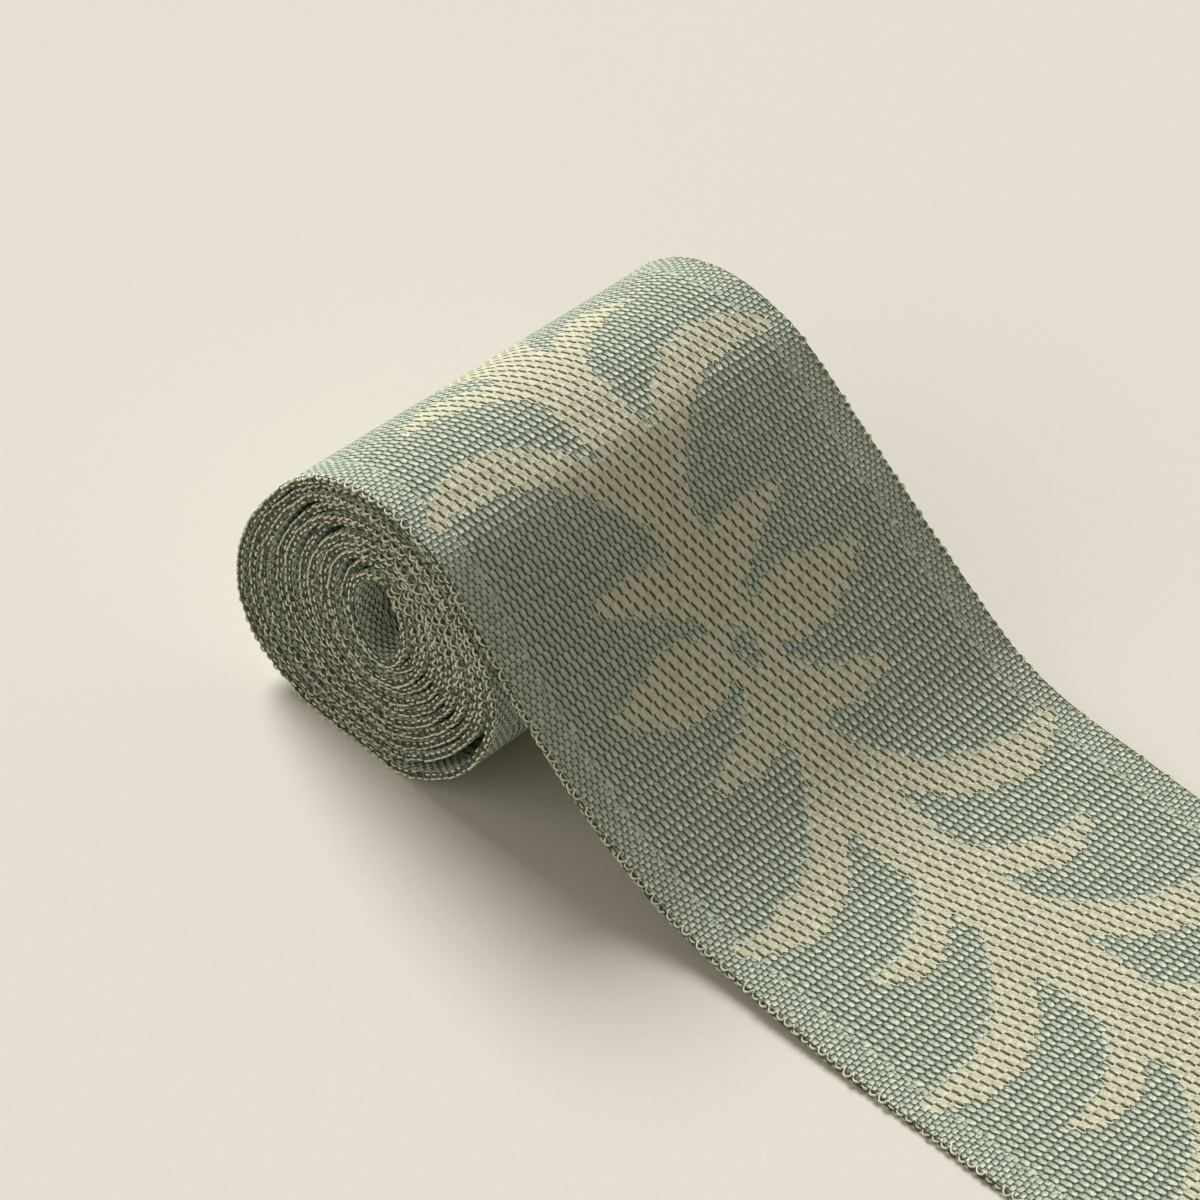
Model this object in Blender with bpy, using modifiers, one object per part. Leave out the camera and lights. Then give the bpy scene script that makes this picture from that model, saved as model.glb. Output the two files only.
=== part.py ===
# A woven tape trim: an oval roll on its side, with the loose end drawn off its top.
# Metres. X follows the loose end, Y crosses the tape and Z is up from the surface.
import math
from collections import namedtuple

import bmesh
import bpy
from mathutils import Vector

MM = 0.001

# The tape itself.
TAPE_WIDTH = 75 * MM
TAPE_THICKNESS = 1.2 * MM

# The oval roll, seen along its axis.
ROLL_TURNS = 11
STATIONS_A_TURN = 48
ROLL_WIDTH = 56.8 * MM
ROLL_HEIGHT = 47.0 * MM
ROLL_SQUASH = 2.3 * MM
ROLL_LEAN = 0.05
HOLE_WIDTH = 10.4 * MM
HOLE_HEIGHT = 15.8 * MM
HOLE_SIDE_SHIFT = 1.0 * MM
HOLE_BOTTOM = 15.4 * MM
LEAVE_ANGLE = math.radians(75)

# A row for each place where the turns are pressed in, or sag out if minus.
Dent = namedtuple("Dent", "angle depth spread")
ROLL_DENTS = [
    Dent(math.radians(42), 3.4 * MM, math.radians(26)),
    Dent(math.radians(150), 2.0 * MM, math.radians(28)),
    Dent(math.radians(-148), -3.2 * MM, math.radians(26)),
]

# How the turns stand out at the ends of the roll.
GROOVE_DEPTH = 1.4 * MM
NEAR_END_BULGE = 4.6 * MM
EDGE_WANDER = 0.35 * MM
TURNS_A_WANDER = 2.1
END_TAPER = 0.03

# The outer turns are slack at the lower right, with deep gaps between them.
SLACK = 1.5 * MM
SLACK_ANGLE = math.radians(-38)
SLACK_SPREAD = math.radians(30)
SLACK_TURNS = 3.2
SLACK_GROOVE_DEPTH = 7.0 * MM

# The loose end, down to the surface and along it.
CLEARANCE = 0.6 * MM
TAIL_REACH = 150 * MM
TAIL_STEP = 3.0 * MM
TAIL_STRIPS = 12

# A row for each place where the slope of the loose end changes.
Bend = namedtuple("Bend", "out up")
LOOSE_END_COURSE = [
    Bend(13.3 * MM, 42.9 * MM),
    Bend(19.6 * MM, 37.7 * MM),
    Bend(31.1 * MM, 26.6 * MM),
    Bend(43.3 * MM, 16.4 * MM),
    Bend(56.5 * MM, 7.8 * MM),
    Bend(64.0 * MM, 4.5 * MM),
    Bend(73.0 * MM, 2.6 * MM),
    Bend(86.0 * MM, 1.5 * MM),
    Bend(99.0 * MM, 0.8 * MM),
    Bend(112.0 * MM, 0.6 * MM),
]

# The bridge stands higher at its far edge and is slightly curled across.
BRIDGE_TILT = 4.9 * MM
TILT_CENTRE = 38 * MM
TILT_SPREAD = 22 * MM
TILT_STARTS = (12 * MM, 34 * MM)
TILT_ENDS = (70 * MM, 96 * MM)
EDGE_CURL = 0.35 * MM
CURL_STARTS = (20 * MM, 40 * MM)
CURL_ENDS = (75 * MM, 95 * MM)
TAPER_ENDS = (14 * MM, 40 * MM)

# The finished box is centred on the origin, with its base at zero.
ROLL_X = -60.6 * MM
ROLL_Y = 1.94 * MM

LAST_STATION = ROLL_TURNS * STATIONS_A_TURN
BOTTOM_PITCH = HOLE_BOTTOM / ROLL_TURNS


def clear_scene():
    for item in list(bpy.data.objects):
        bpy.data.objects.remove(item)


def material(name, colour, roughness):
    made = bpy.data.materials.new(name)
    made.use_nodes = True
    shader = made.node_tree.nodes["Principled BSDF"]
    shader.inputs["Base Color"].default_value = (*colour, 1.0)
    shader.inputs["Roughness"].default_value = roughness
    shader.inputs["Metallic"].default_value = 0.0
    return made


def blend(start, end, share):
    return start + (end - start) * share


def smooth_step(value, low, high):
    share = min(max((value - low) / (high - low), 0.0), 1.0)
    return share * share * (3 - 2 * share)


def bell(distance, spread):
    return math.exp(-(distance / spread) ** 2)


def angle_apart(first, second):
    return math.remainder(first - second, math.tau)


def angle_at(station):
    """The angle of a station, counted back from where the loose end leaves."""
    return LEAVE_ANGLE + (LAST_STATION - station) * math.tau / STATIONS_A_TURN


def slackness_at(station):
    return bell(angle_apart(angle_at(station), SLACK_ANGLE), SLACK_SPREAD)


def wound_point(station, inset):
    """The point (x, z) of a turn's outer face, or inset into the tape."""
    angle = angle_at(station)
    grown = station / LAST_STATION
    half_x = blend(HOLE_WIDTH / 2, ROLL_WIDTH / 2, grown)
    half_z = blend(HOLE_HEIGHT / 2, (ROLL_HEIGHT + ROLL_SQUASH) / 2, grown)
    middle_x = blend(HOLE_SIDE_SHIFT, 0.0, grown)
    middle_z = blend(HOLE_BOTTOM + HOLE_HEIGHT / 2, (ROLL_HEIGHT - ROLL_SQUASH) / 2, grown)
    outward = Vector((half_z * math.cos(angle), half_x * math.sin(angle))).normalized()
    turns_inside = (LAST_STATION - station) / STATIONS_A_TURN
    resting_level = BOTTOM_PITCH * math.floor(turns_inside) + inset
    drawn_in = SLACK * slackness_at(station) * smooth_step(turns_inside, 0.75, 1.5)
    inset += drawn_in * grown
    for dent in ROLL_DENTS:
        inset += dent.depth * bell(angle_apart(angle, dent.angle), dent.spread) * grown ** 2
    x = middle_x + half_x * math.cos(angle) - inset * outward.x
    z = middle_z + half_z * math.sin(angle) - inset * outward.y
    x += ROLL_LEAN * half_z * math.sin(angle)
    return Vector((x, max(z, resting_level)))


def end_shift(station):
    """How far the tape's edge stands out of the near end, at a station."""
    angle = angle_at(station)
    turns = station / STATIONS_A_TURN
    grown = turns / ROLL_TURNS
    bulge = NEAR_END_BULGE * grown ** 2 * (1 - math.sin(angle)) / 2
    wander = EDGE_WANDER * math.sin(math.tau * turns / TURNS_A_WANDER)
    return (bulge + wander) * smooth_step(ROLL_TURNS - turns, 0.0, 0.2)


def tapered(x, y, z):
    """The roll is a little higher at its near end than at its far end."""
    return Vector((x, y, z * (1 - END_TAPER * y / (TAPE_WIDTH / 2))))


def solid_object(name, collection, mesh_parts, finish):
    mesh = bpy.data.meshes.new(name)
    mesh.from_pydata(*mesh_parts)
    work = bmesh.new()
    work.from_mesh(mesh)
    bmesh.ops.recalc_face_normals(work, faces=work.faces)
    work.to_mesh(mesh)
    work.free()
    mesh.materials.append(finish)
    mesh.shade_smooth()
    made = bpy.data.objects.new(name, mesh)
    collection.objects.link(made)
    return made


class RollMesh:
    """One closed solid: the turns stand up as ridges on both ends."""

    def __init__(self):
        self.points = []
        self.faces = []
        self.rows = {}

    def add_corner(self, kind, side, station, flat, depth):
        y = side * (TAPE_WIDTH / 2 - depth) - end_shift(station)
        self.rows[kind, side, station] = len(self.points)
        self.points.append(tapered(flat.x, y, flat.y))

    def corner(self, key, side):
        kind, station = key
        return self.rows[kind, side, station]

    def strip(self, side, first, second):
        """A quad on one end between two edges, each given by its two corners."""
        corners = [self.corner(key, side) for key in (*first, *reversed(second))]
        self.faces.append(corners)

    def wall(self, first, second):
        """A quad along the roll between the two ends."""
        near = [self.corner(key, -1) for key in (first, second)]
        far = [self.corner(key, 1) for key in (second, first)]
        self.faces.append(near + far)


def groove_depth(station):
    turns = station / STATIONS_A_TURN
    outermost = smooth_step(turns, ROLL_TURNS - SLACK_TURNS, ROLL_TURNS - SLACK_TURNS / 2)
    return blend(GROOVE_DEPTH, SLACK_GROOVE_DEPTH, slackness_at(station) * outermost)


def build_roll(collection, finish):
    shape = RollMesh()
    last_groove = LAST_STATION - STATIONS_A_TURN
    for side in (-1, 1):
        for station in range(LAST_STATION + 1):
            outer = wound_point(station, 0.0)
            inner = wound_point(station, TAPE_THICKNESS)
            shape.add_corner("inner", side, station, inner, 0.0)
            shape.add_corner("outer", side, station, outer, 0.0)
            if station <= last_groove:
                above = wound_point(station + STATIONS_A_TURN, TAPE_THICKNESS)
                middle = (outer + above) / 2
                shape.add_corner("groove", side, station, middle, groove_depth(station))
        for station in range(LAST_STATION):
            after = station + 1
            shape.strip(side, [("inner", station), ("inner", after)],
                        [("outer", station), ("outer", after)])
            if station >= last_groove:
                continue
            above = station + STATIONS_A_TURN
            shape.strip(side, [("outer", station), ("outer", after)],
                        [("groove", station), ("groove", after)])
            shape.strip(side, [("groove", station), ("groove", after)],
                        [("inner", above), ("inner", above + 1)])
    for station in range(STATIONS_A_TURN):
        shape.wall(("inner", station), ("inner", station + 1))
        outermost = last_groove + station
        shape.wall(("outer", outermost), ("outer", outermost + 1))
    inner_step = [("inner", 0), ("outer", 0), ("groove", 0), ("inner", STATIONS_A_TURN)]
    outer_step = [("outer", last_groove), ("groove", last_groove)]
    outer_step += [("inner", LAST_STATION), ("outer", LAST_STATION)]
    for step in (inner_step, outer_step):
        for first, second in zip(step, step[1:]):
            shape.wall(first, second)
    roll = solid_object("wound_roll", collection, (shape.points, [], shape.faces), finish)
    roll.location = (ROLL_X, ROLL_Y, 0.0)
    return roll


def curve_point(before, start, end, after, share):
    """A point on the smooth curve through start and end."""
    square = share * share
    cube = square * share
    return 0.5 * (2 * start + (end - before) * share
                  + (2 * before - 5 * start + 4 * end - after) * square
                  + (3 * start - before - 3 * end + after) * cube)


def loose_end_line():
    """The middle of the loose end, from the roll's top to its cut end."""
    lap_end = wound_point(LAST_STATION, TAPE_THICKNESS / 2)
    lap_before = wound_point(LAST_STATION - 1, TAPE_THICKNESS / 2)
    along = (lap_end - lap_before).normalized()
    start = lap_end + along * CLEARANCE
    bends = [start - along * TAIL_STEP, start]
    bends += [Vector((row.out, row.up)) for row in LOOSE_END_COURSE]
    bends += [Vector((TAIL_REACH * times, TAPE_THICKNESS / 2)) for times in (1, 2)]
    line = []
    for index in range(1, len(bends) - 2):
        span = bends[index - 1:index + 3]
        steps = max(2, round((span[2] - span[1]).length / TAIL_STEP))
        line += [curve_point(*span, step / steps) for step in range(steps)]
    line.append(bends[-2])
    return line


def between(out, starts, ends):
    """One along the middle of a stretch, fading out before and after it."""
    return smooth_step(out, *starts) * (1 - smooth_step(out, *ends))


def loose_end_height(middle, across):
    """The height of a point on the loose end, from -1 to 1 across the tape."""
    tilt = BRIDGE_TILT * bell(middle.x - TILT_CENTRE, TILT_SPREAD)
    tilt *= between(middle.x, TILT_STARTS, TILT_ENDS)
    curl = EDGE_CURL * between(middle.x, CURL_STARTS, CURL_ENDS)
    taper = END_TAPER * (1 - smooth_step(middle.x, *TAPER_ENDS))
    z = middle.y * (1 - taper * across)
    z += tilt * across / 2 - curl * math.cos(across * math.pi)
    return max(z, TAPE_THICKNESS / 2)


def build_loose_end(collection, finish):
    line = loose_end_line()
    columns = TAIL_STRIPS + 1
    points = []
    for middle in line:
        for column in range(columns):
            across = 2 * column / TAIL_STRIPS - 1
            points.append((middle.x, across * TAPE_WIDTH / 2, loose_end_height(middle, across)))
    faces = []
    for row in range(len(line) - 1):
        for strip in range(TAIL_STRIPS):
            corner = row * columns + strip
            faces.append((corner, corner + 1, corner + columns + 1, corner + columns))
    mesh = bpy.data.meshes.new("loose_end")
    mesh.from_pydata(points, [], faces)
    mesh.materials.append(finish)
    mesh.shade_smooth()
    tail = bpy.data.objects.new("loose_end", mesh)
    collection.objects.link(tail)
    tail.location = (ROLL_X, ROLL_Y, 0.0)
    thickness = tail.modifiers.new("thickness", "SOLIDIFY")
    thickness.thickness = TAPE_THICKNESS
    thickness.offset = 0.0
    thickness.use_even_offset = True
    return tail


def main():
    clear_scene()
    collection = bpy.data.collections.new("tape_trim")
    bpy.context.scene.collection.children.link(collection)
    woven = material("woven_tape", (0.42, 0.46, 0.38), 0.85)
    woven_end = material("woven_tape_end", (0.46, 0.50, 0.41), 0.85)
    build_roll(collection, woven)
    build_loose_end(collection, woven_end)


main()
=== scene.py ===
import math
from collections import namedtuple

import bpy
import numpy as np
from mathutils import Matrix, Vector


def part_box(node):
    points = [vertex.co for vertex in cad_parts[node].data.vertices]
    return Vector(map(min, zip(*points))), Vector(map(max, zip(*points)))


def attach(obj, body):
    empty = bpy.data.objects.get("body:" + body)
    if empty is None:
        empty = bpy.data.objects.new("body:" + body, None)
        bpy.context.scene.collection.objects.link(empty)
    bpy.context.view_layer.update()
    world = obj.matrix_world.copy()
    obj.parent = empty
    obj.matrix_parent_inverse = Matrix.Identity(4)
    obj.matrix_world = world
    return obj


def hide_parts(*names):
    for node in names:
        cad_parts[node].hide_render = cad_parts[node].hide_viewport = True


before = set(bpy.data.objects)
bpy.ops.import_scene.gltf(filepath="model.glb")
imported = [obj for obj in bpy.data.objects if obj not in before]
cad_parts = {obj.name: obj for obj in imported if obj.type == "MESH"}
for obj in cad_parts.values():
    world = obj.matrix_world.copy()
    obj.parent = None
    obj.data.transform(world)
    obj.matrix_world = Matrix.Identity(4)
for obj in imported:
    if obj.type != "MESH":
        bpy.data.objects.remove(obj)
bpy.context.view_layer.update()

mm = 0.001  # everything below is in millimetres until it becomes a mesh
scene = bpy.context.scene


def blend(start, end, share):
    return start + (end - start) * share


def smoothStep(value, low, high):
    share = np.clip((np.asarray(value, float) - low) / (high - low), 0.0, 1.0)
    return share * share * (3 - 2 * share)


def bell(distance, spread):
    return np.exp(-(distance / spread) ** 2)


def angleApart(first, second):
    return (first - second + math.pi) % math.tau - math.pi


# The tape, as cut and woven

tape = {
    "width": 75.0,
    "thickness": 1.2,
    "columns": 66,       # warp floats side by side
    "rowPitch": 1.63,    # along the tape
    "turns": 11,
    "samplesPerTurn": 240,
    "looseStep": 0.7,    # between the samples of the loose end
    "reach": 150.0,      # of the loose end, from the roll's middle
    "edgeWander": 0.22,
    "wanderWaves": (17.0, 6.3),
}
columnPitch = tape["width"] / tape["columns"]
halfWidth = tape["width"] / 2
halfThick = tape["thickness"] / 2

endLow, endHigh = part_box("loose_end")
rollX = endHigh.x / mm - tape["reach"]      # the roll's axis, in the CAD frame
rollY = (endLow.y + endHigh.y) / 2 / mm

# The oval roll, seen along its axis

roll = {
    "width": 56.8,
    "height": 47.0,
    "squash": 2.3,
    "lean": 0.05,
    "holeWidth": 10.4,
    "holeHeight": 15.8,
    "holeSide": 1.0,
    "holeBottom": 15.4,
    "leaveAngle": math.radians(75),
    "slack": 1.5,
    "slackAngle": math.radians(-38),
    "slackSpread": math.radians(30),
    "nearBulge": 4.6,
    "endWander": 0.35,
    "wanderTurns": 2.1,
    "taper": 0.03,
    "unevenness": 0.28,  # of the gaps between the turns
    "unevenWaves": 3,    # round one turn
    "unevenStep": 2.1,   # from one turn to the next
}
Dent = namedtuple("Dent", "angle depth spread")
rollDents = [
    Dent(math.radians(42), 3.4, math.radians(26)),
    Dent(math.radians(150), 2.0, math.radians(28)),
    Dent(math.radians(-148), -3.2, math.radians(26)),
]

# The loose end, seen from the same side: distance out and height

Bend = namedtuple("Bend", "out up")
looseEndCourse = [
    Bend(13.3, 42.9),
    Bend(19.6, 37.7),
    Bend(31.1, 26.6),
    Bend(43.3, 16.4),
    Bend(56.5, 7.8),
    Bend(64.0, 4.5),
    Bend(73.0, 2.6),
    Bend(86.0, 1.5),
    Bend(99.0, 0.8),
    Bend(112.0, 0.6),
]
looseEnd = {
    "tilt": 4.9,
    "tiltCentre": 38,
    "tiltSpread": 22,
    "tiltStarts": (12, 34),
    "tiltEnds": (70, 96),
    "curl": 0.35,
    "curlStarts": (20, 40),
    "curlEnds": (75, 95),
    "taperEnds": (14, 40),
}


def slackAt(angle):
    return bell(angleApart(angle, roll["slackAngle"]), roll["slackSpread"])


def woundLine(turn):
    # the middle of the tape's thickness in the roll, turn 0 being the inner end
    inside = tape["turns"] - turn
    angle = roll["leaveAngle"] + inside * math.tau
    grown = turn / tape["turns"]
    halfX = blend(roll["holeWidth"] / 2, roll["width"] / 2, grown)
    halfZ = blend(roll["holeHeight"] / 2, (roll["height"] + roll["squash"]) / 2, grown)
    middleX = blend(roll["holeSide"], 0.0, grown)
    middleZ = blend(roll["holeBottom"] + roll["holeHeight"] / 2,
                    (roll["height"] - roll["squash"]) / 2, grown)
    outX, outZ = halfZ * np.cos(angle), halfX * np.sin(angle)
    size = np.hypot(outX, outZ)
    inset = np.full_like(turn, halfThick)
    resting = roll["holeBottom"] / tape["turns"] * np.floor(inside + 1e-6) + inset
    inset = inset + roll["slack"] * slackAt(angle) * smoothStep(inside, 0.75, 1.5) * grown
    loose = smoothStep(inside, 0.5, 1.5) * smoothStep(turn, 0.3, 1.5)
    waves = np.sin(roll["unevenWaves"] * angle + roll["unevenStep"] * np.floor(inside))
    inset += roll["unevenness"] * waves * loose * (1 + np.sin(angle)) / 2
    for dent in rollDents:
        inset += dent.depth * bell(angleApart(angle, dent.angle), dent.spread) * grown ** 2
    x = middleX + halfX * np.cos(angle) - inset * outX / size
    z = middleZ + halfZ * np.sin(angle) - inset * outZ / size
    x += roll["lean"] * halfZ * np.sin(angle)
    return x, np.maximum(z, resting)


def endShift(turn):
    angle = roll["leaveAngle"] + (tape["turns"] - turn) * math.tau
    bulge = roll["nearBulge"] * (turn / tape["turns"]) ** 2 * (1 - np.sin(angle)) / 2
    wander = roll["endWander"] * np.sin(math.tau * turn / roll["wanderTurns"])
    return (bulge + wander) * smoothStep(tape["turns"] - turn, 0.0, 0.2)


def smoothCurve(points, step):
    # passes through every point but the first and last
    line = []
    for before, start, end, after in zip(points, points[1:], points[2:], points[3:]):
        count = max(2, round(np.linalg.norm(end - start) / step))
        share = np.arange(count)[:, None] / count
        line.append(0.5 * (2 * start + (end - before) * share
                           + (2 * before - 5 * start + 4 * end - after) * share ** 2
                           + (3 * start - before - 3 * end + after) * share ** 3))
    return np.vstack(line + [points[-2]])


class TapeLine:
    # the whole length of the tape, measured from its inner end

    def __init__(self):
        turn = np.linspace(0, tape["turns"], tape["turns"] * tape["samplesPerTurn"] + 1)
        woundX, woundZ = woundLine(turn)
        wound = np.column_stack([woundX, woundZ])
        bends = [wound[-8], wound[-1]]    # the first only gives the direction
        bends += [np.array(row) for row in looseEndCourse]
        bends += [np.array([tape["reach"] * times, halfThick]) for times in (1, 2)]
        loose = smoothCurve(bends, tape["looseStep"])[1:]
        line = np.vstack([wound, loose])
        steps = np.linalg.norm(np.diff(line, axis=0), axis=1)
        self.at = np.concatenate([[0.0], np.cumsum(steps)])
        self.leaves = self.at[len(wound) - 1]
        self.length = self.at[-1]
        self.turnAt = self.at[:len(turn):tape["samplesPerTurn"]]
        ahead = np.gradient(line, axis=0)
        ahead /= np.linalg.norm(ahead, axis=1)[:, None]
        out = np.concatenate([np.zeros(len(turn)), loose[:, 0]])
        onEnd = (out > 0) * 1.0
        free = looseEnd
        tilt = free["tilt"] * bell(out - free["tiltCentre"], free["tiltSpread"])
        tilt *= smoothStep(out, *free["tiltStarts"]) * (1 - smoothStep(out, *free["tiltEnds"]))
        curl = free["curl"] * smoothStep(out, *free["curlStarts"])
        curl *= 1 - smoothStep(out, *free["curlEnds"])
        self.tracks = {
            "x": line[:, 0],
            "z": line[:, 1],
            "outX": -ahead[:, 1],
            "outZ": ahead[:, 0],
            "shift": np.concatenate([endShift(turn), np.zeros(len(loose))]),
            "taper": roll["taper"] * (1 - smoothStep(out, *free["taperEnds"])),
            "tilt": tilt * onEnd,
            "curl": curl * onEnd,
        }

    def track(self, name, along):
        return np.interp(along, self.at, self.tracks[name])

    def point(self, along, across, lift):
        # across and lift are in the tape's own width and thickness
        y = across - self.track("shift", along)
        level = np.maximum(self.track("z", along), halfThick)
        level = level * (1 - self.track("taper", along) * y / halfWidth)
        level += self.track("tilt", along) * across / halfWidth / 2
        level -= self.track("curl", along) * np.cos(across / halfWidth * math.pi)
        x = self.track("x", along) + self.track("outX", along) * lift
        z = np.maximum(level, halfThick) + self.track("outZ", along) * lift
        longWave, shortWave = tape["wanderWaves"]
        wander = np.sin(along / longWave) + 0.6 * np.sin(along / shortWave + 1)
        y = y + tape["edgeWander"] * wander * (across / halfWidth) ** 3
        return np.stack([x + rollX, y + rollY, z], axis=-1) * mm


tapeLine = TapeLine()
print("tape line", round(tapeLine.length), "mm, leaves the roll at", round(tapeLine.leaves))

# The pattern: a row for each leaf, from the rosette's middle, along and across the tape

# root and end are shares of its half width at its two ends
Leaf = namedtuple("Leaf", "start bend tip half fullest root end")
petals = [
    Leaf((-5, 1), (-14.5, 6), (-15, 18.5), 4.1, 0.50, 0.8, 0.25),
    Leaf((0.4, 4.5), (1.6, 14), (-0.3, 25.5), 6.0, 0.36, 0.1, 0.1),
    Leaf((6, 1), (17, 5), (15.8, 16.8), 3.5, 0.60, 0.9, 0.45),
    Leaf((-5, 0), (1, 0), (8, 0), 5.2, 0.50, 0.8, 0.8),
]
fronds = [
    Leaf((22, 2), (46, 15.5), (37.8, 33.6), 3.7, 0.68, 0.7, 0.36),
    Leaf((43, 1), (60, 10.8), (54.6, 22.6), 2.9, 0.62, 0.8, 0.30),
]
pattern = {
    "rosetteAt": 38.5,      # beyond where the tape leaves the roll
    "repeat": 252.0,
    "frondStep": 36.5,
    "frondPairs": 3,
    "stemNarrow": 4.2,
    "stemWide": 5.5,
    "stemWidens": (15, 34),
    "bandSteps": 48,
    "tipTaper": 1.4,
    "eyePlace": 1.6,
    "eyeAlong": 3.9,
    "eyeAcross": 2.5,
    "border": 5.0,          # of plainer weave at each edge
    "deepest": 3.0,         # further in or out than this makes no difference
}


def leafDepth(along, across, leaf):
    # how deep a place is inside a curved band that swells to its fullest place
    start, bend, tip = (np.array(place, float) for place in (leaf.start, leaf.bend, leaf.tip))
    depth = np.full(along.shape, -99.0)
    for share in np.linspace(0, 1, pattern["bandSteps"]):
        middle = (1 - share) ** 2 * start + 2 * share * (1 - share) * bend + share ** 2 * tip
        if share < leaf.fullest:
            swell = blend(leaf.root, 1, math.sin(share / leaf.fullest * math.pi / 2))
        else:
            toTip = (share - leaf.fullest) / (1 - leaf.fullest)
            swell = blend(1, leaf.end, toTip ** pattern["tipTaper"])
        reach = np.hypot(along - middle[0], across - middle[1])
        depth = np.maximum(depth, leaf.half * swell - reach)
    return depth


def patternDepth(along, across):
    # above zero where the pale pattern shows on the face of the tape, in millimetres
    fromRosette = along - tapeLine.leaves - pattern["rosetteAt"]
    fromRosette = (fromRosette + pattern["repeat"] / 2) % pattern["repeat"] - pattern["repeat"] / 2
    side = np.abs(across)
    away = np.abs(fromRosette)
    widening = smoothStep(away, *pattern["stemWidens"])
    stem = blend(pattern["stemNarrow"], pattern["stemWide"], widening)
    depth = stem - side
    for leaf in petals:
        depth = np.maximum(depth, leafDepth(fromRosette, side, leaf))
    for pair in range(pattern["frondPairs"]):
        for leaf in fronds:
            depth = np.maximum(depth, leafDepth(away - pair * pattern["frondStep"], side, leaf))
    eye = (np.abs(fromRosette - pattern["eyePlace"]) / pattern["eyeAlong"]
           + side / pattern["eyeAcross"] - 1)
    depth = np.minimum(depth, eye * pattern["eyeAcross"])
    return np.clip(depth, -pattern["deepest"], pattern["deepest"])


# Shader maths on sockets

class Value:
    # a socket that takes part in sums, so that 1 - mask works
    def __init__(self, finish, socket):
        self.finish = finish
        self.socket = socket

    def maths(self, operation, first, second=0.0):
        return self.finish.node("Math", {"operation": operation}, {0: first, 1: second})

    def __add__(self, other):
        return self.maths("ADD", self, other)

    def __radd__(self, other):
        return self.maths("ADD", other, self)

    def __sub__(self, other):
        return self.maths("SUBTRACT", self, other)

    def __rsub__(self, other):
        return self.maths("SUBTRACT", other, self)

    def __mul__(self, other):
        return self.maths("MULTIPLY", self, other)

    def __rmul__(self, other):
        return self.maths("MULTIPLY", other, self)

    def __truediv__(self, other):
        return self.maths("DIVIDE", self, other)

    def __rtruediv__(self, other):
        return self.maths("DIVIDE", other, self)

    def __pow__(self, other):
        return self.maths("POWER", self, other)

    def __mod__(self, other):
        return self.maths("FLOORED_MODULO", self, other)

    def __gt__(self, other):
        return self.maths("GREATER_THAN", self, other)

    def __abs__(self):
        return self.maths("ABSOLUTE", self)

    def floor(self):
        return self.maths("FLOOR", self)

    def atLeast(self, other):
        return self.maths("MAXIMUM", self, other)

    def between(self, low, high):
        return self.finish.node("MapRange", {"interpolation_type": "SMOOTHSTEP"},
                                {0: self, 1: low, 2: high, 3: 0.0, 4: 1.0})


class Finish:
    # one material and its nodes
    def __init__(self, name, roughness, sheen=0.0, specular=0.5):
        self.material = bpy.data.materials.new(name)
        self.material.use_nodes = True
        self.tree = self.material.node_tree
        self.shader = self.tree.nodes["Principled BSDF"]
        self.shader.inputs["Roughness"].default_value = roughness
        self.shader.inputs["Sheen Weight"].default_value = sheen
        self.shader.inputs["Specular IOR Level"].default_value = specular

    def node(self, kind, settings, sockets, output=0):
        made = self.tree.nodes.new("ShaderNode" + kind)
        for name, value in settings.items():
            setattr(made, name, value)
        for key, value in sockets.items():
            self.plug(made.inputs[key], value)
        return Value(self, made.outputs[output])

    def plug(self, socket, value):
        if isinstance(value, Value):
            self.tree.links.new(value.socket, socket)
        else:
            socket.default_value = value

    def attribute(self, name, output):
        return self.node("Attribute", {"attribute_name": name}, {}, output)

    def parts(self, vector):
        return [self.node("SeparateXYZ", {}, {0: vector}, place) for place in range(3)]

    def vector(self, x, y, z=0.0):
        return self.node("CombineXYZ", {}, {0: x, 1: y, 2: z})

    def noise(self, vector, scale, detail=2.0):
        return self.node("TexNoise", {}, {"Vector": vector, "Scale": scale, "Detail": detail})

    def mixColour(self, factor, first, second):
        return self.node("Mix", {"data_type": "RGBA"}, {0: factor, 6: first, 7: second}, 2)

    def bump(self, height, distance):
        return self.node("Bump", {}, {"Height": height, "Distance": distance})

    def shade(self, name, value):
        self.plug(self.shader.inputs[name], value)


def fromScreen(red, green, blue):
    # a colour as seen on screen, 0 to 255, as a shader colour
    return tuple((part / 255) ** 2.2 for part in (red, green, blue)) + (1.0,)


# The woven cloth

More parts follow.
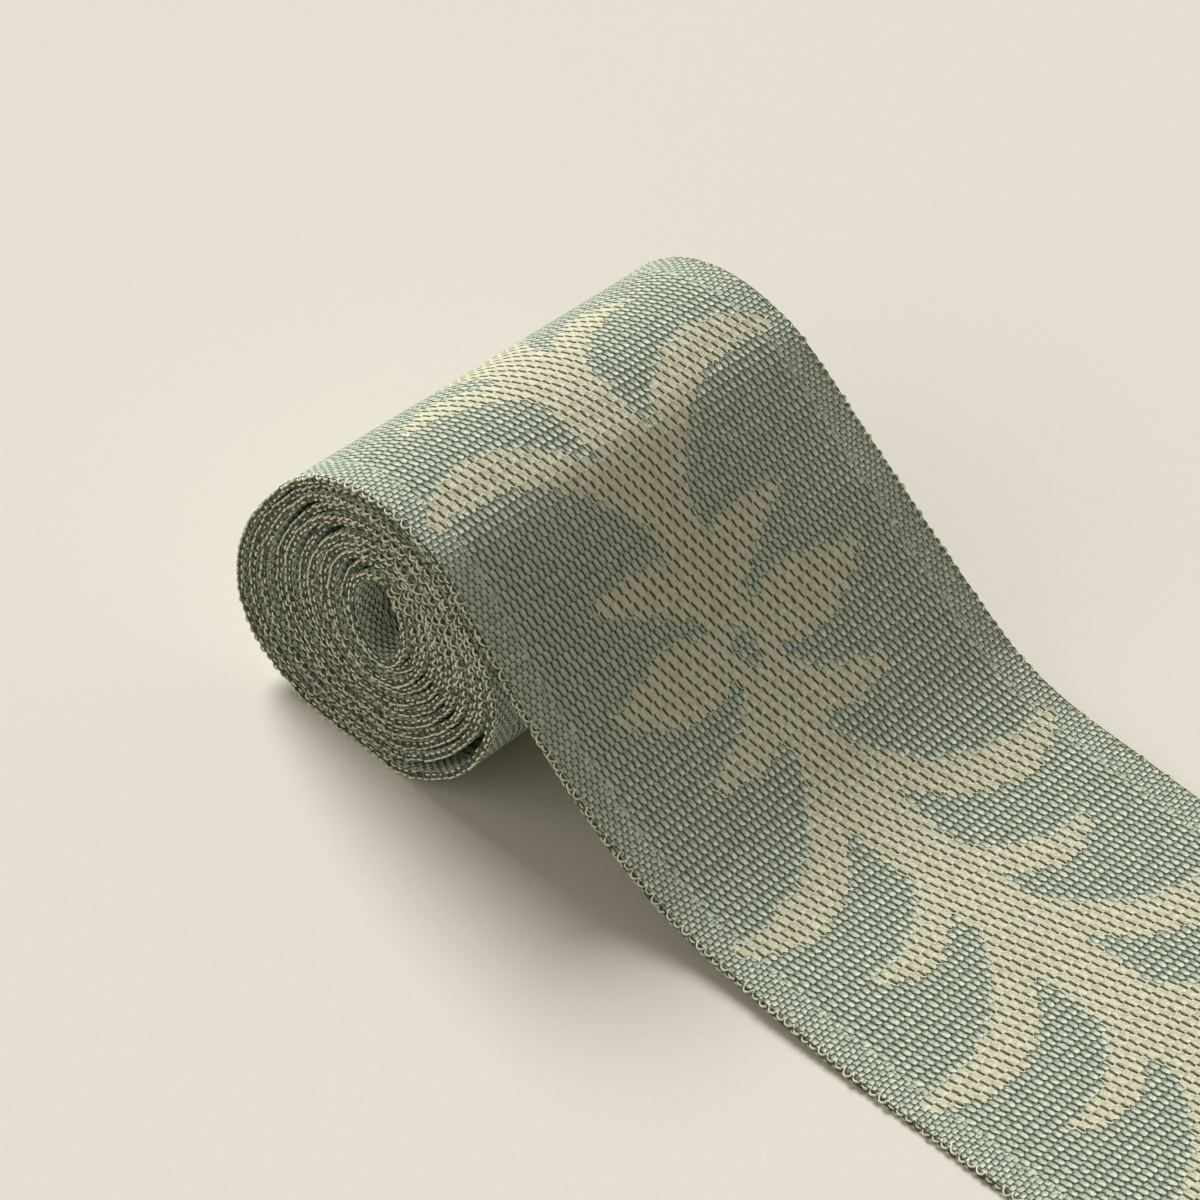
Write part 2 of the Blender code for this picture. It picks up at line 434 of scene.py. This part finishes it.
weave = {
    "groundTop": fromScreen(224, 233, 213),
    "groundCool": fromScreen(196, 212, 192),
    # painted shade: the gap colours darken the low places between floats, where the weave shades
    # itself
    "groundGapPaintedShade": fromScreen(84, 94, 70),
    "leafTop": fromScreen(236, 237, 212),
    "leafWarm": fromScreen(222, 221, 190),
    # painted shade in the grooves between the pale pattern's floats
    "leafGapPaintedShade": fromScreen(104, 104, 66),
    # painted shade for the tape's edges and thin sides, between the selvedge loops and the turns
    "rim": fromScreen(58, 58, 38),
    "floatHalfWidth": 0.47,
    "floatHalfLength": 0.92,
    "floatPowers": (2.7, 2.3),    # how square a float is, across and along
    "slant": 0.06,
    "strokePitch": 1.70,    # of the dark strokes in the pale pattern, across the tape
    "strokeHalfWidth": 0.24,
    "strokeHalfLength": 0.86,
    "strokeSlant": 0.10,
    "stepped": 0.8,         # how far the pattern's edge follows whole floats
    "dotPitch": 0.93,
    "dotHalfWidth": 0.52,
    "dotHalfLength": 0.60,
    "dotPower": 2.4,
    "drift": 0.5,           # of rows and columns together, over a few floats
    "jitterAcross": 0.22,   # of single floats
    "jitterAlong": 0.45,
    "paleHeight": 0.75,
    "paleSwell": 0.22,
    "strokeCut": 1.6,
    "borderBlend": 1.2,
    # below these heights the colour is the painted gap shade
    "cover": (-0.30, 0.42),    # the heights between which a gap turns to yarn
    "fibreAcross": 7,
    "fibreAlong": 2.4,
    "fibreCover": 0.4,
    "fibreRelief": 0.5,
    # how wide and how strong the painted edge shade is
    "paintedRimShadeWidth": 0.5,
    "paintedRimShadeStrength": 0.85,
    "relief": 0.00042,      # in metres
}


def floatDome(along, across, field, step):
    # the height of the warp float of one row, 1 at its middle, and whether the pattern holds it
    depth, depthAcross, depthAlong = field
    row = (along / tape["rowPitch"]).floor() + step
    away = along - row * tape["rowPitch"]
    place = across / columnPitch - (row % 2.0) * 0.5
    beside = (place - (place + 0.5).floor()) * columnPitch
    inside = depth - (depthAcross * beside + depthAlong * away) * weave["stepped"]
    side = beside - away * weave["slant"]
    powerAcross, powerAlong = weave["floatPowers"]
    dome = (1 - abs(side / weave["floatHalfWidth"]) ** powerAcross
            - abs(away / weave["floatHalfLength"]) ** powerAlong)
    return dome, inside > 0.0


def strokeDepth(along, across, step):
    # the short groove between the long pale floats of one row
    row = (along / tape["rowPitch"]).floor() + step
    away = along - row * tape["rowPitch"]
    place = across / weave["strokePitch"] - row / 3    # each row is a third of a pitch further on
    side = (place - (place + 0.5).floor()) * weave["strokePitch"] - away * weave["strokeSlant"]
    groove = 1 - (side / weave["strokeHalfWidth"]) ** 2.0
    ends = 1 - abs(away / weave["strokeHalfLength"]) ** 3.0
    return groove.atLeast(0.0) * ends.atLeast(0.0)


def dotDome(along, across):
    # the finer plain weave of the borders
    row = (along / weave["dotPitch"] + 0.5).floor()
    away = along - row * weave["dotPitch"]
    place = across / columnPitch - (row % 2.0) * 0.5
    side = (place - (place + 0.5).floor()) * columnPitch
    return (1 - abs(side / weave["dotHalfWidth"]) ** weave["dotPower"]
            - abs(away / weave["dotHalfLength"]) ** weave["dotPower"])


def weaveFinish():
    finish = Finish("wovenTape", 0.8, sheen=0.1, specular=0.3)
    rawAcross, rawAlong, _ = finish.parts(finish.attribute("tapeAt", "Vector"))
    field = finish.parts(finish.attribute("patternAt", "Vector"))
    flat = finish.vector(rawAcross, rawAlong)
    drift = (finish.noise(flat, 0.5, 1.0) - 0.5) * weave["drift"]
    jitter = finish.noise(finish.vector(rawAlong, rawAcross), 1.3, 1.0) - 0.5
    across = rawAcross + drift + jitter * weave["jitterAcross"]
    along = rawAlong + drift - jitter * weave["jitterAlong"]
    first, firstInside = floatDome(along, across, field, 0.0)
    second, secondInside = floatDome(along, across, field, 1.0)
    leaf = firstInside + (second > first) * (secondInside - firstInside)
    ground = first.atLeast(second)
    stroke = strokeDepth(along, across, 0.0).atLeast(strokeDepth(along, across, 1.0))
    swell = (ground.atLeast(-0.5) - 0.5) * weave["paleSwell"]
    pale = weave["paleHeight"] - stroke * weave["strokeCut"] + swell
    dots = dotDome(along, across)
    edgeAt = halfWidth - pattern["border"]
    border = (abs(rawAcross) + jitter * 2).between(edgeAt - weave["borderBlend"],
                                                   edgeAt + weave["borderBlend"])
    height = ground * (1 - border) + dots * border
    height = (height * (1 - leaf) + pale * leaf).atLeast(-1.0)
    # how much yarn covers the painted gap shade, from the weave's height
    cover = height.between(*weave["cover"])
    fine = finish.vector(across * weave["fibreAcross"], along * weave["fibreAlong"])
    fibre = finish.noise(fine, 1.0, 3.0)
    tone = finish.noise(flat, 0.8, 2.0).between(0.38, 0.62)
    groundTop = finish.mixColour(tone, weave["groundTop"], weave["groundCool"])
    leafTop = finish.mixColour(tone, weave["leafTop"], weave["leafWarm"])
    top = finish.mixColour(leaf, groundTop, leafTop)
    paintedGapShade = finish.mixColour(leaf, weave["groundGapPaintedShade"], weave["leafGapPaintedShade"])
    # painted shade: low places take the gap shade colour, and the fibres let a little more or less
    # of it through
    cover = cover * (1 - weave["fibreCover"] / 2 + weave["fibreCover"] * fibre)
    colour = finish.mixColour(cover, paintedGapShade, top)
    # painted shade: the last half millimetre of each edge and the thin sides are darkened, where
    # loops and turns shade them
    rim = abs(rawAcross).between(halfWidth - weave["paintedRimShadeWidth"], halfWidth) * weave["paintedRimShadeStrength"]
    finish.shade("Base Color", finish.mixColour(rim, colour, weave["rim"]))
    relief = height.atLeast(-0.6) + (fibre - 0.5) * weave["fibreRelief"]
    finish.shade("Normal", finish.bump(relief, weave["relief"]))
    return finish.material


# Meshes on the tape line

cloth = {
    "rowSpacing": 0.9,
    "outerColumns": 109,    # fine, because its points carry the pattern
    "innerColumns": 41,
}


def addMesh(name, points, faces, tapeAt, finish):
    mesh = bpy.data.meshes.new(name)
    mesh.from_pydata(points.tolist(), [], np.vstack(faces).tolist())
    where = mesh.attributes.new("tapeAt", "FLOAT_VECTOR", "POINT")
    where.data.foreach_set("vector", tapeAt.ravel())
    mesh.materials.append(finish)
    mesh.shade_smooth()
    made = bpy.data.objects.new(name, mesh)
    scene.collection.objects.link(made)
    return made


def columnsAcross(count):
    return np.linspace(-halfWidth, halfWidth, count)

def gridFaces(rows, columns, first=0, flip=False):
    corner = (np.arange(rows - 1)[:, None] * columns + np.arange(columns - 1)).ravel() + first
    around = [corner, corner + 1, corner + columns + 1, corner + columns]
    return np.stack(around[::-1] if flip else around, axis=1)


def clothMesh(name, starts, ends, acrossAt, finish, patternedBack):
    # a closed sheet with a face, a back and four thin sides
    along = np.linspace(starts, ends, round((ends - starts) / cloth["rowSpacing"]) + 1)
    rows, columns = len(along), len(acrossAt)
    alongGrid, acrossGrid = np.meshgrid(along, acrossAt, indexing="ij")
    faceSide = tapeLine.point(alongGrid, acrossGrid, halfThick).reshape(-1, 3)
    backSide = tapeLine.point(alongGrid, acrossGrid, -halfThick).reshape(-1, 3)
    total = rows * columns
    faces = [gridFaces(rows, columns), gridFaces(rows, columns, total, True)]
    grid = np.arange(total).reshape(rows, columns)
    rim = np.concatenate([grid[:, 0], grid[-1, 1:], grid[-2::-1, -1], grid[0, -2:0:-1]])
    after = np.roll(rim, -1)
    faces.append(np.stack([rim, after, after + total, rim + total], axis=1))
    flat = np.stack([acrossGrid, alongGrid, np.zeros_like(alongGrid)], axis=-1).reshape(-1, 3)
    points = np.vstack([faceSide, backSide])
    made = addMesh(name, points, faces, np.vstack([flat, flat]), finish)
    depth = patternDepth(alongGrid, acrossGrid)
    byAlong, byAcross = np.gradient(depth, along, acrossAt)
    front = np.stack([depth, byAcross, byAlong], axis=-1).reshape(-1, 3)
    # the back shows the pattern in reverse, between its plain borders
    backDepth = np.full_like(depth, -pattern["deepest"])
    if patternedBack:
        inward = halfWidth - pattern["border"] - np.abs(acrossGrid)
        backDepth = np.minimum(-depth, np.maximum(inward, backDepth))
    level = np.zeros_like(depth)
    back = np.stack([backDepth, level, level], axis=-1).reshape(-1, 3)
    shown = made.data.attributes.new("patternAt", "FLOAT_VECTOR", "POINT")
    shown.data.foreach_set("vector", np.vstack([front, back]).ravel())
    return made


# The selvedge: a strand of weft along each corner of the edge, that loops outward once a row

Corner = namedtuple("Corner", "name lift out deep lean phase")
corners = [
    Corner("face", 0.66, -0.64, 0.90, 0.34, 0.0),
    Corner("back", -0.56, -0.62, 0.58, 0.16, 0.5),
]
selvedge = {
    "yarn": 0.17,           # half its thickness
    "samples": 12,
    "sides": 5,
    "square": 0.62,         # below 1 the loops have steeper sides
    "sizeSpread": 0.14,
    "rollSpread": 0.09,
    "slipSpread": 0.12,
    "floorGap": 0.02,
    "nearSeed": 7,
    "farSeed": 8,
    "colour": fromScreen(252, 250, 226),
    "shade": fromScreen(214, 218, 182),
}


def selvedgeFinish():
    finish = Finish("selvedgeYarn", 0.8, sheen=0.1, specular=0.3)
    place = finish.attribute("tapeAt", "Vector")
    tone = finish.noise(place, 1.1, 2.0)
    colour = finish.mixColour(tone.between(0.35, 0.7), selvedge["colour"], selvedge["shade"])
    finish.shade("Base Color", colour)
    finish.shade("Normal", finish.bump(finish.noise(place, 6.0, 2.0), 0.0001))
    return finish.material


def normalised(vectors):
    return vectors / np.linalg.norm(vectors, axis=-1, keepdims=True)


def strandPoints(side, starts, ends, corner, chance):
    # a tube round the strand on one corner: it runs into the cloth between its loops
    rows = round((ends - starts) / tape["rowPitch"])
    count = rows * selvedge["samples"]
    along = np.linspace(starts, ends, count)
    place = np.arange(count) / selvedge["samples"] + corner.phase
    arch = np.abs(np.sin(place * math.pi)) ** selvedge["square"]
    which = np.floor(place).astype(int)
    size = chance.normal(1, selvedge["sizeSpread"], rows + 2)[which]
    rolled = chance.normal(0, selvedge["rollSpread"], rows + 2)[which]
    slip = chance.normal(0, selvedge["slipSpread"], rows + 2)[which]
    along = along + slip * arch
    lift = corner.lift - math.copysign(1, corner.lift) * (corner.lean + rolled) * arch
    outward = corner.out + corner.deep * arch * size
    line = tapeLine.point(along, side * (halfWidth + outward), lift) / mm
    ahead = normalised(np.gradient(line, axis=0))
    nearlyAcross = np.array([0.0, 1.0, 0.001])    # never quite along the strand
    sideways = normalised(np.cross(ahead, nearlyAcross))
    upward = np.cross(ahead, sideways)
    twist = np.arange(selvedge["sides"]) * math.tau / selvedge["sides"]
    tube = (np.cos(twist)[None, :, None] * sideways[:, None]
            + np.sin(twist)[None, :, None] * upward[:, None]) * selvedge["yarn"]
    return line[:, None] + tube


def selvedgeMesh(name, side, starts, ends, finish):
    chance = np.random.default_rng(selvedge["nearSeed" if side < 0 else "farSeed"])
    points = []
    faces = []
    for corner in corners:
        strand = strandPoints(side, starts, ends, corner, chance)
        count, sides = strand.shape[:2]
        first = sum(len(part) for part in points)
        ring = np.arange(count - 1)[:, None] * sides + first
        spot = np.arange(sides)
        after = (spot + 1) % sides
        around = [ring + spot, ring + after, ring + sides + after, ring + sides + spot]
        faces.append(np.stack(around, axis=-1).reshape(-1, 4))
        points.append(strand.reshape(-1, 3))
    points = np.vstack(points)
    points[:, 2] = np.maximum(points[:, 2], selvedge["floorGap"])
    return addMesh(name, points * mm, faces, points, finish)


woven = weaveFinish()
loopYarn = selvedgeFinish()

split = tapeLine.turnAt[tape["turns"] - 1]    # the outer lap starts here
fineColumns = columnsAcross(cloth["outerColumns"])
fewColumns = columnsAcross(cloth["innerColumns"])
outerLap = clothMesh("outerLapAndLooseEnd", split, tapeLine.length, fineColumns, woven, True)
innerTurns = clothMesh("innerTurns", 0.0, split, fewColumns, woven, False)
print("cloth", len(outerLap.data.polygons), len(innerTurns.data.polygons))
loops = []
for side, word in ((-1, "near"), (1, "far")):
    loops.append(selvedgeMesh(word + "SelvedgeEnd", side, split, tapeLine.length, loopYarn))
    loops.append(selvedgeMesh(word + "SelvedgeTurns", side, 0.0, split, loopYarn))
print("selvedge loops", sum(len(piece.data.polygons) for piece in loops))

for piece in [outerLap, innerTurns, *loops]:
    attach(piece, "root")
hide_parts("loose_end")
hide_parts("wound_roll")

# The floor, the light and the camera

stage = {
    "floorSize": 6.0,
    "floorColour": fromScreen(231, 227, 219),
    "grainScale": 900.0,
    "grainRelief": 0.00004,    # in metres
    "worldColour": (1.0, 0.92, 0.74, 1.0),
    "worldStrength": 0.19,
}
Lamp = namedtuple("Lamp", "name fromWhere strength softness colour")
lamps = [
    Lamp("window", (-0.93, 0.28, 0.82), 3.4, math.radians(24), (1.0, 0.99, 0.97)),
    Lamp("fill", (-0.35, -0.88, 0.42), 0.65, math.radians(70), (1.0, 0.96, 0.90)),
]


def buildFloor():
    half = stage["floorSize"] / 2
    mesh = bpy.data.meshes.new("floor")
    outline = [(-half, -half, 0), (half, -half, 0), (half, half, 0), (-half, half, 0)]
    mesh.from_pydata(outline, [], [(0, 1, 2, 3)])
    finish = Finish("paleFloor", 0.9, specular=0.2)
    coordinates = finish.node("TexCoord", {}, {}, "Object")
    finish.shade("Base Color", stage["floorColour"])
    grain = finish.noise(coordinates, stage["grainScale"], 3.0)
    finish.shade("Normal", finish.bump(grain, stage["grainRelief"]))
    mesh.materials.append(finish.material)
    floor = bpy.data.objects.new("floor", mesh)
    scene.collection.objects.link(floor)


def buildLight():
    for row in lamps:
        lamp = bpy.data.lights.new(row.name, "SUN")
        lamp.energy = row.strength
        lamp.angle = row.softness
        lamp.color = row.colour
        made = bpy.data.objects.new(row.name, lamp)
        made.rotation_euler = Vector(row.fromWhere).to_track_quat("Z", "Y").to_euler()
        scene.collection.objects.link(made)
    world = bpy.data.worlds.new("softRoom")
    world.use_nodes = True
    backdrop = world.node_tree.nodes["Background"]
    backdrop.inputs["Color"].default_value = stage["worldColour"]
    backdrop.inputs["Strength"].default_value = stage["worldStrength"]
    scene.world = world


photographer = {
    "focal": 4261.0,              # in pixels of a 1200-pixel frame
    "frame": 1200.0,
    "elevation": math.radians(43.85),
    "azimuth": math.radians(44.89),
    "distance": 649.3,
    "lookAt": (10.21, -1.35, 10.0),  # from the roll's axis, in mm
}


def buildCamera():
    lens = bpy.data.cameras.new("camera")
    lens.sensor_width = 36.0
    lens.lens = photographer["focal"] / photographer["frame"] * lens.sensor_width
    lens.clip_start = 0.05
    camera = bpy.data.objects.new("camera", lens)
    lookX, lookY, lookZ = photographer["lookAt"]
    target = Vector((lookX + rollX, lookY + rollY, lookZ)) * mm
    level = math.cos(photographer["elevation"])
    back = Vector((math.cos(photographer["azimuth"]) * level,
                   -math.sin(photographer["azimuth"]) * level,
                   math.sin(photographer["elevation"])))
    camera.location = target + back * photographer["distance"] * mm
    camera.rotation_euler = back.to_track_quat("Z", "Y").to_euler()
    scene.collection.objects.link(camera)
    scene.camera = camera


scene.view_settings.view_transform = "Standard"
buildFloor()
buildLight()
buildCamera()
print("stage and camera")
